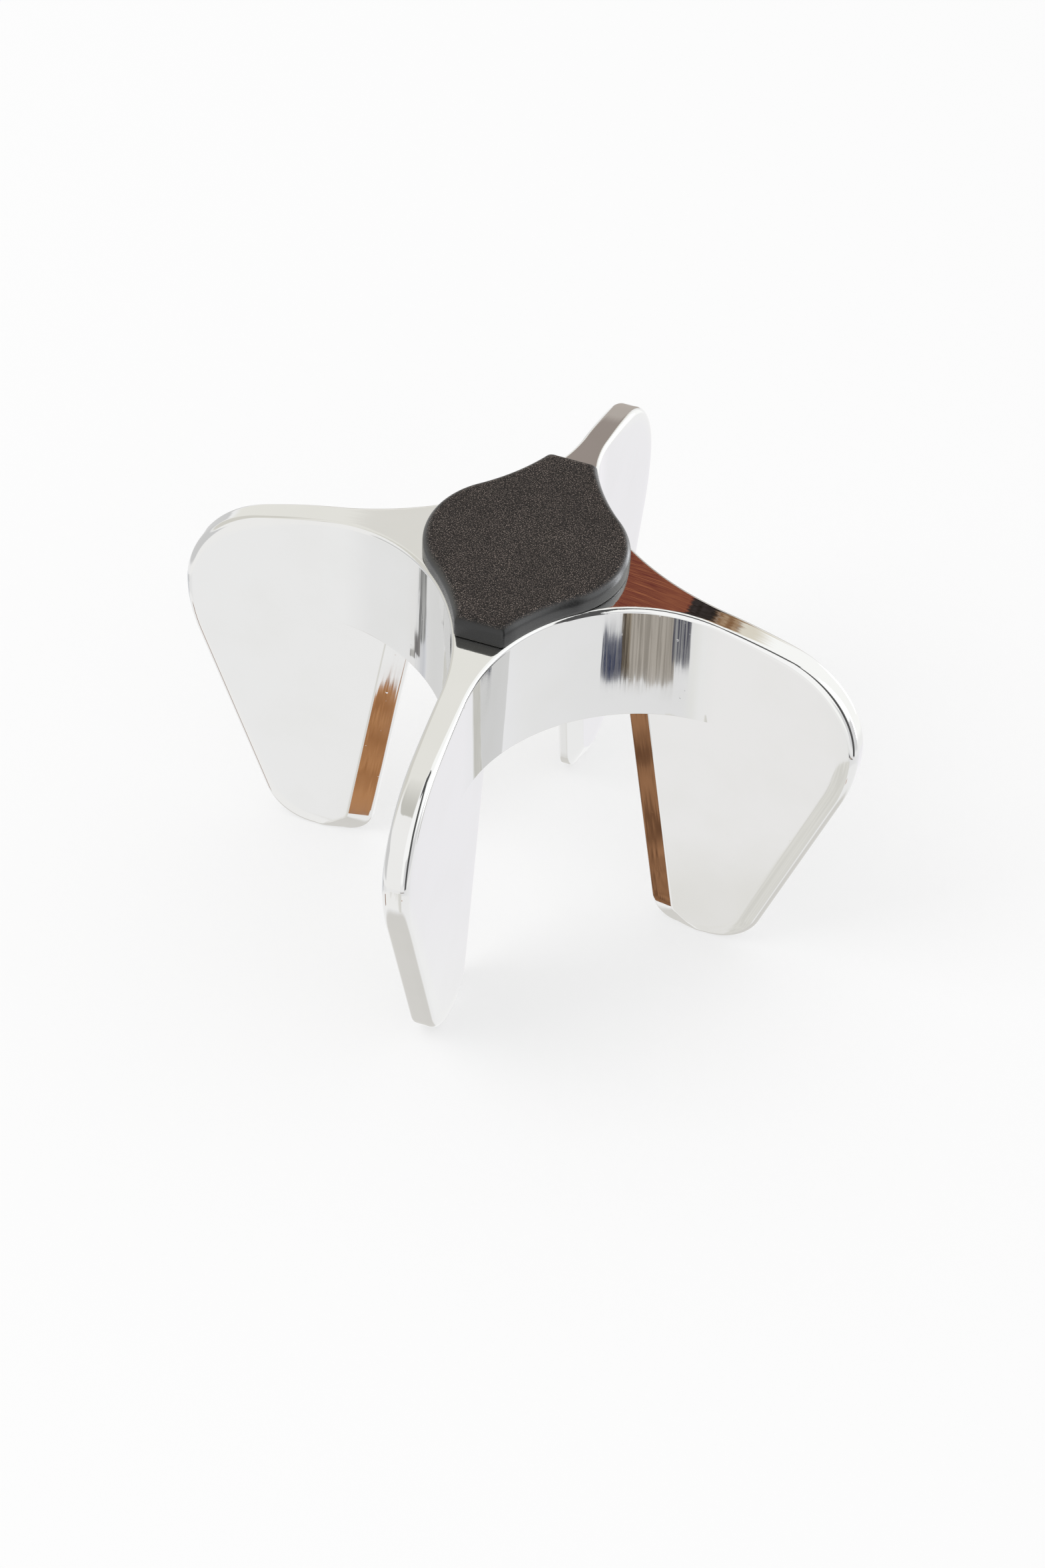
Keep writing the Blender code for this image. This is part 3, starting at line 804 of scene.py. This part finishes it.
def buildScrew(material):
    # A threaded shank with its point up, and a domed head below with a cross recess.
    s = screw
    count = 64
    turn = fullTurn(count)
    top = s["headTop"]
    # Thread: r = root + (crest - root) * ridge(z / pitch - turn / 2 pi), fading at both ends.
    first, last = s["tip"] - 1.0, top + 0.3
    z = np.arange(first, last, -s["pitch"] / 10)[:, None]
    phase = (z / s["pitch"] - turn / (2 * np.pi)) % 1.0
    ridge = np.clip(s["ridgeTop"] - s["ridgeSlope"] * np.abs(phase - 0.5), 0, 1)
    ends = smoothStep((first - z) / s["ridgeFade"]) * smoothStep((z - last) / s["ridgeFade"])
    r = s["root"] + (s["crest"] - s["root"]) * ridge * ends
    thread = np.stack([r * np.cos(turn), r * np.sin(turn), z + 0 * r], axis=2)
    skin = Skin()
    tip = [(0.0, s["tip"]), (s["root"] * 0.55, s["tip"]), (s["root"], s["tip"] - 0.5),
           (s["root"], z[0, 0])]
    skin.addGrid(np.concatenate([turnedGrid(tip, count), thread[1:]]))
    rim = s["headLow"] + s["dome"]
    reach = s["headRadius"]
    edge = s["headEdge"]
    neck = [(s["root"], z[-1, 0]), (s["root"], top + 0.1), (s["root"] + 0.1, top)]
    corner = arcPoints((reach - edge, top - edge), edge, np.pi / 2, 0.0, 4)
    a = np.linspace(0, np.pi / 2 * 0.6, 6)
    dome = np.stack([reach * np.cos(a), rim - s["dome"] * np.sin(a)], axis=1)
    head = np.concatenate([neck, corner, [(reach, rim + 0.1)], dome])
    skin.addGrid(turnedGrid(head, count))

    def domeHeight(x, y):
        # Half an ellipsoid: rim - dome * sqrt(1 - (r / radius)^2)
        return rim - s["dome"] * np.sqrt(np.clip(1 - (x * x + y * y) / reach ** 2, 0, 1))

    # The cross recess: outline with drawn-in corners, walls and a level bottom.
    long, wide = s["recessLength"] / 2, s["recessWidth"] / 2
    arm = [(long, 0.0), (long, wide), ((long + wide) / 2, wide), (wide, wide),
           (wide, (long + wide) / 2), (wide, long)]
    cross = np.concatenate([turned(arm, quarter) for quarter in range(4)])

    def outsideCross(x, y):
        x, y = np.abs(x), np.abs(y)
        return (np.minimum(x, y) > wide) | (np.maximum(x, y) > long)

    # Points for the dome between rim and recess, all a little clear of the cross.
    rings = np.concatenate([circlePlan(radius, 48) for radius in (1.65, 1.3, 0.95, 0.6)])
    rings = rings[outsideCross(*(rings.T * 0.93))]
    skin.addSheet(circlePlan(dome[-1, 0], count), domeHeight, cross, rings, outsideCross)
    bottom = s["headLow"] + s["recessDepth"]
    mouth = np.column_stack([cross, domeHeight(*cross.T)])
    deep = np.column_stack([cross * 0.8, np.full(len(cross), bottom)])
    wall = np.stack([mouth, deep])
    skin.addGrid(np.concatenate([wall, wall[:, :1]], axis=1))
    skin.addSheet(deep, lambda x, y: bottom)
    return skin.build("crossScrew", material)


washer = {
    "bore": 1.75,
    "radius": 3.3,
    "high": 33.7,
    "low": 33.1,
    "edge": 0.12,
}


def buildWasher(material):
    # A square section with quarter circles at its four corners, turned about Z.
    w = washer
    e = w["edge"]
    corners = [(w["radius"] - e, w["high"] - e, 90), (w["radius"] - e, w["low"] + e, 0),
               (w["bore"] + e, w["low"] + e, -90), (w["bore"] + e, w["high"] - e, -180)]
    ring = np.concatenate([arcPoints((x, z), e, math.radians(a), math.radians(a - 90), 4)
                           for x, z, a in corners])
    skin = Skin()
    skin.addGrid(turnedGrid(np.concatenate([ring, ring[:1]]), 72))
    return skin.build("plainWasher", material)


camera = {
    "focal": 10117.404,            # pixels of the 1568 x 2352 picture
    "perMillimetre": 15.3,         # pixels per millimetre at the middle of the star's top
    "elevation": 0.72706974,       # radians
    "azimuth": 0.3224486,
    "roll": -0.04480655,
    "spot": (789.466, 832.555),    # pixel of the middle of the star's top
    "picture": (1568, 2352),
    "sensor": 36.0,
}


def addCamera():
    # Pinhole at a distance from the star's top, turned so that the top lands on its pixel.
    c = camera
    e, a = c["elevation"], c["azimuth"]
    away = np.array([math.cos(e) * math.sin(a), -math.cos(e) * math.cos(a), math.sin(e)])
    right = np.cross([0, 0, 1], away)
    right /= np.linalg.norm(right)
    upward = np.cross(away, right)
    roll = np.array(Matrix.Rotation(c["roll"], 3, "Z"))
    aim = np.array([(c["spot"][0] - c["picture"][0] / 2) / c["focal"],
                    -(c["spot"][1] - c["picture"][1] / 2) / c["focal"], -1.0])
    swing = np.array(Vector((0, 0, -1)).rotation_difference(Vector(aim)).to_matrix())
    axes = swing @ roll @ np.array([right, upward, away])
    place = away * c["focal"] / c["perMillimetre"] + [0, 0, star["height"]]
    data = bpy.data.cameras.new("photoCamera")
    data.sensor_fit = "AUTO"
    data.sensor_width = c["sensor"]
    data.lens = c["focal"] / max(c["picture"]) * c["sensor"]
    data.clip_start = 0.01
    data.clip_end = 20.0
    thing = bpy.data.objects.new("photoCamera", data)
    thing.matrix_world = Matrix.Translation(Vector(place * millimetre)) \
        @ Matrix(axes.T.tolist()).to_4x4()
    bpy.context.scene.collection.objects.link(thing)
    bpy.context.scene.camera = thing


studio = {
    "floorColour": (0.93, 0.93, 0.93),
    "floorSize": 3.0,              # metres
    "floorWhite": 0.55,            # share of plain white in what the camera sees of the floor
    "lampPower": 5.5,
    "lampSize": 0.9,
    "lampPlace": (-0.75, -0.55, 1.25),
    "lampAim": (0.0, 0.0, 0.02),
}


def addFloor():
    # A level square under the feet. The camera sees part of it as plain white, and the rest
    # keeps the soft shadow.
    half = studio["floorSize"] / 2
    mesh = bpy.data.meshes.new("paleFloor")
    mesh.from_pydata([(-half, -half, 0), (half, -half, 0), (half, half, 0), (-half, half, 0)],
                     [], [(0, 1, 2, 3)])
    floor = bpy.data.objects.new("paleFloor", mesh)
    bpy.context.scene.collection.objects.link(floor)
    finish = Finish("paleFloor", studio["floorColour"], 0.0, 0.9)
    finish.put("Specular IOR Level", 0.0)
    toCamera = finish.add("ShaderNodeLightPath", output="Is Camera Ray")
    seen = finish.blend(finish.maths("MULTIPLY", toCamera, studio["floorWhite"]),
                        finish.shader.outputs["BSDF"], finish.add("ShaderNodeEmission"))
    finish.feed(finish.nodes["Material Output"].inputs["Surface"], seen)
    floor.visible_glossy = False       # mirrors see the room's own pale table instead
    mesh.materials.append(finish.material)


room = {
    "skyLight": (0.86, 0.86, 0.86),
    "ceiling": (0.94, 0.93, 0.88),
    # How bearings are counted ("half": -180 to 180, "round": 0 to 360), bearings, heights,
    # softness of each, colour; some with a second colour and the grain's cycles per degree.
    "patches": [
        ("half", (-400, 400), (-95, -3), 1, 7, (1.0, 1.0, 1.0)),        # pale table
        ("half", (-400, 400), (-95, -64), 1, 7, (0.765, 0.75, 0.72)),
        ("half", (12, 400), (-28, 80), 6, 8, (1.15, 1.155, 1.14)),      # window side
        ("round", (150, 187), (-2, 78), 8, 4, (1.14, 1.14, 1.14)),
        ("round", (192, 222), (38, 44), 14, 36, (0.655, 0.645, 0.60)),  # above the screen
        ("round", (186, 250), (-57, 37.5), 3, 2, (1.03, 1.025, 1.015)),  # white screen in front
        ("round", (66, 150), (-33, -9), 8, 4, (0.82, 0.82, 0.83)),      # sill below the window
        ("round", (60, 96), (-3, 34), 8, 6, (1.28, 1.30, 1.32)),        # the bright window
        ("round", (52, 61), (-24, 22), 3, 5, (5.0, 5.1, 5.3)),          # two lamps beside it
        ("round", (23, 36), (-16, 8), 3, 5, (5.0, 5.1, 5.3)),
        ("round", (232, 325), (-32, -8), 8, 4, (0.72, 0.72, 0.72)),     # darker side of the room
        ("round", (110, 130), (-41.5, 77), 3, 3, (0.10, 0.10, 0.10)),   # dark post by the window
        ("round", (92, 160), (59, 79), 8, 3, (0.10, 0.10, 0.10)),       # dark beam above it
        ("round", (258, 300), (0, 46), 8, 6, (0.77, 0.755, 0.70)),
        ("half", (-32, -18), (34, 45), 5, 3, (0.85, 0.835, 0.79)),
        ("half", (-21, -3), (-22, 28), 4, 6, (0.37, 0.32, 0.29)),       # wall behind
        ("half", (-21, -3), (-22, 7), 4, 4, (0.52, 0.47, 0.43)),
        ("half", (-22.5, 0.3), (34, 49), 0.8, 5, (0.36, 0.13, 0.065),   # brown timber
         (0.15, 0.035, 0.03), 0.05, 1.1),
        ("half", (8, 12), (34, 49), 4.0, 5, (0.84, 0.79, 0.68)),        # its end: pale, black, tan
        ("half", (0.6, 5.2), (34, 49), 0.6, 5, (0.05, 0.04, 0.038),
         (0.02, 0.015, 0.012), 0.6, 0.8),
        ("half", (6.0, 9.0), (34, 49), 1.4, 5, (0.46, 0.32, 0.20),
         (0.26, 0.14, 0.07), 0.6, 0.8),
        ("round", (236, 247), (-54, -46.9), 1.5, 0.4, (0.36, 0.18, 0.09),   # brown in the wedges
         (0.15, 0.07, 0.035), 0.3, 3.5),
        ("round", (157, 162), (-50, -48.66), 1.5, 0.06, (0.54, 0.27, 0.12),
         (0.34, 0.15, 0.06), 0.3, 3.5),
    ],
    "patchGrain": (0.4, 0.6),      # noise values between which a second colour sets in
    # What upright faces see of the table at the photograph's angle, by bearing.
    "ring": [
        (0, (0.97, 0.955, 0.985)), (32, (0.97, 0.965, 0.99)), (66, (0.96, 0.96, 0.975)),
        (80, (0.95, 0.95, 0.955)), (120, (0.92, 0.92, 0.925)), (178, (0.895, 0.895, 0.90)),
        (183, (0.92, 0.92, 0.90)), (187, (0.97, 0.97, 0.965)), (196, (0.995, 0.985, 0.98)),
        (201, (1.01, 1.01, 1.01)), (213, (1.01, 1.01, 1.01)), (222, (0.98, 0.98, 0.98)),
        (232, (0.94, 0.94, 0.94)), (258, (0.93, 0.93, 0.93)), (270, (0.91, 0.905, 0.90)),
        (280, (0.66, 0.67, 0.70)), (284, (0.84, 0.85, 0.88)), (292, (0.84, 0.85, 0.88)),
        (300, (0.76, 0.78, 0.81)), (311, (0.57, 0.60, 0.63)), (335, (0.54, 0.55, 0.55)),
        (346, (0.90, 0.90, 0.92)), (360, (0.97, 0.955, 0.985)),
    ],
    "ringHeights": (-44.4, -41.0),
    "ringSoft": 1.6,
    # Darker things beyond the table, seen in the hub's walls and near the right wing's edge:
    # bearings, heights, softness of the heights, two colours.
    "streaks": [
        ((194.5, 200), (-60, -44.5), 0.6, (0.93, 0.92, 0.90), (0.91, 0.90, 0.87)),
        ((168, 194.6), (-60, -43.42), 0.05, (0.86, 0.85, 0.81), (0.78, 0.77, 0.73)),
        ((130, 142), (-42.68, -42.28), 0.02, (0.17, 0.17, 0.19), (0.03, 0.04, 0.09)),
        ((141, 147), (-42.67, -41.7), 0.02, (0.40, 0.34, 0.26), (0.10, 0.08, 0.06)),
        ((146, 171), (-42.67, -41.7), 0.02, (0.48, 0.44, 0.39), (0.33, 0.30, 0.26)),
        ((170, 179.5), (-42.53, -41.7), 0.02, (0.34, 0.34, 0.34), (0.06, 0.06, 0.09)),
        ((273, 281), (-42.42, -40), 0.02, (0.54, 0.54, 0.53), (0.17, 0.17, 0.17)),
        ((270, 275), (-42.55, -42.38), 0.02, (0.54, 0.53, 0.51), (0.17, 0.16, 0.16)),
        ((266, 271.5), (-42.68, -42.50), 0.02, (0.54, 0.53, 0.51), (0.17, 0.16, 0.16)),
    ],
    "streakSoft": 0.7,             # softness of the bearings
    "streakGrain": (0.38, 0.62),
    "streakCycles": (1.1, 0.6),    # grain per degree of bearing and of height
    "raggedEnds": 0.16,            # how far the streaks' ends and sides wander, in degrees
    "raggedSides": 2.4,
    "endCycles": (0.7, 0.0),
    "sideCycles": (0.0, 14.0),
}


def addWorld():
    # What mirrors see of the room, worked out from each ray's bearing and height. Matt surfaces
    # get one plain white from all round, and the camera sees plain white.
    world = bpy.data.worlds.new("studioRoom")
    bpy.context.scene.world = world
    world.use_nodes = True
    graph = Graph(world.node_tree)
    maths = graph.maths
    x, y, z = graph.split(graph.add("ShaderNodeTexCoord", output="Generated"))
    degree = 180 / math.pi
    # Bearing in degrees, 0 behind the object (+Y) and 90 to its right; height above the horizon.
    bearing = maths("MULTIPLY", maths("ARCTAN2", x, y), degree)
    compass = maths("FLOORED_MODULO", bearing, 360.0)
    height = maths("MULTIPLY", maths("ARCSINE", z), degree)

    def step(value, low, high):
        return graph.remap(value, low, high, way="SMOOTHSTEP")

    def between(value, limits, softness):
        # 1 between the limits, falling smoothly to 0 over the softness on either side
        low, high = limits
        return maths("MULTIPLY", step(value, low - softness, low),
                     step(value, high + softness, high))

    def grain(acrossBearing, acrossHeight):
        # Noise with so many cycles per degree of bearing and of height
        place = graph.add("ShaderNodeCombineXYZ", {
            "X": maths("MULTIPLY", compass, acrossBearing),
            "Y": maths("MULTIPLY", height, acrossHeight)})
        return graph.add("ShaderNodeTexNoise", {"Scale": 1.0, "Detail": 3.0, "Vector": place})

    def wander(cycles, reach):
        return maths("MULTIPLY", maths("SUBTRACT", grain(*cycles), 0.5), reach)

    def ramp(stops):
        # Colour by bearing, from 0 to 360 degrees
        node = graph.nodes.new("ShaderNodeValToRGB")
        band = node.color_ramp.elements
        while len(band) < len(stops):
            band.new(0.5)
        for element, (place, tone) in zip(band, stops):
            element.position = place / 360
            element.color = (*tone, 1.0)
        graph.feed(node.inputs["Fac"], maths("DIVIDE", compass, 360.0))
        return node.outputs["Color"]

    colour = room["ceiling"]
    for way, bearings, heights, softBearing, softHeight, tone, *grained in room["patches"]:
        mask = maths("MULTIPLY", between(compass if way == "round" else bearing, bearings,
                                         softBearing), between(height, heights, softHeight))
        if grained:
            second, *cycles = grained
            tone = graph.mix(step(grain(*cycles), *room["patchGrain"]), tone, second)
        colour = graph.mix(mask, colour, tone)
    colour = graph.mix(between(height, room["ringHeights"], room["ringSoft"]), colour,
                       ramp(room["ring"]))
    unevenHeight = maths("ADD", height, wander(room["endCycles"], room["raggedEnds"]))
    unevenCompass = maths("ADD", compass, wander(room["sideCycles"], room["raggedSides"]))
    brushed = step(grain(*room["streakCycles"]), *room["streakGrain"])
    for bearings, heights, softHeight, tone, second in room["streaks"]:
        mask = maths("MULTIPLY", between(unevenCompass, bearings, room["streakSoft"]),
                     between(unevenHeight, heights, softHeight))
        colour = graph.mix(mask, colour, graph.mix(brushed, tone, second))
    matt = graph.nodes["Background"]
    graph.feed(matt.inputs["Color"], room["skyLight"])
    mirror = graph.add("ShaderNodeBackground", {"Color": colour})
    white = graph.add("ShaderNodeBackground", {"Color": (1.0, 1.0, 1.0)})
    seen = graph.blend(graph.add("ShaderNodeLightPath", output="Is Glossy Ray"),
                       matt.outputs["Background"], mirror)
    seen = graph.blend(graph.add("ShaderNodeLightPath", output="Is Camera Ray"), seen, white)
    graph.feed(graph.nodes["World Output"].inputs["Surface"], seen)


def addLamp():
    # One large soft lamp, high on the left in front.
    data = bpy.data.lights.new("softBox", "AREA")
    data.energy = studio["lampPower"]
    data.size = studio["lampSize"]
    lamp = bpy.data.objects.new("softBox", data)
    place = Vector(studio["lampPlace"])
    aim = (Vector(studio["lampAim"]) - place).to_track_quat("-Z", "Y")
    lamp.matrix_world = Matrix.Translation(place) @ aim.to_matrix().to_4x4()
    lamp.visible_glossy = False
    bpy.context.scene.collection.objects.link(lamp)


print("making the casting")
castStar = buildStar(chromeFinish())
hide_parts("grip_star")
print("making the cap and its fastening")
mouldedCap = buildCap(capFinish())
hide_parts("top_cap")
crossScrew = buildScrew(zincFinish())
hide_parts("cap_screw")
plainWasher = buildWasher(stripFinish())
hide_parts("screw_washer")
print("setting up the camera and the studio")
addCamera()
bpy.context.scene.view_settings.view_transform = "Standard"
addFloor()
addWorld()
addLamp()
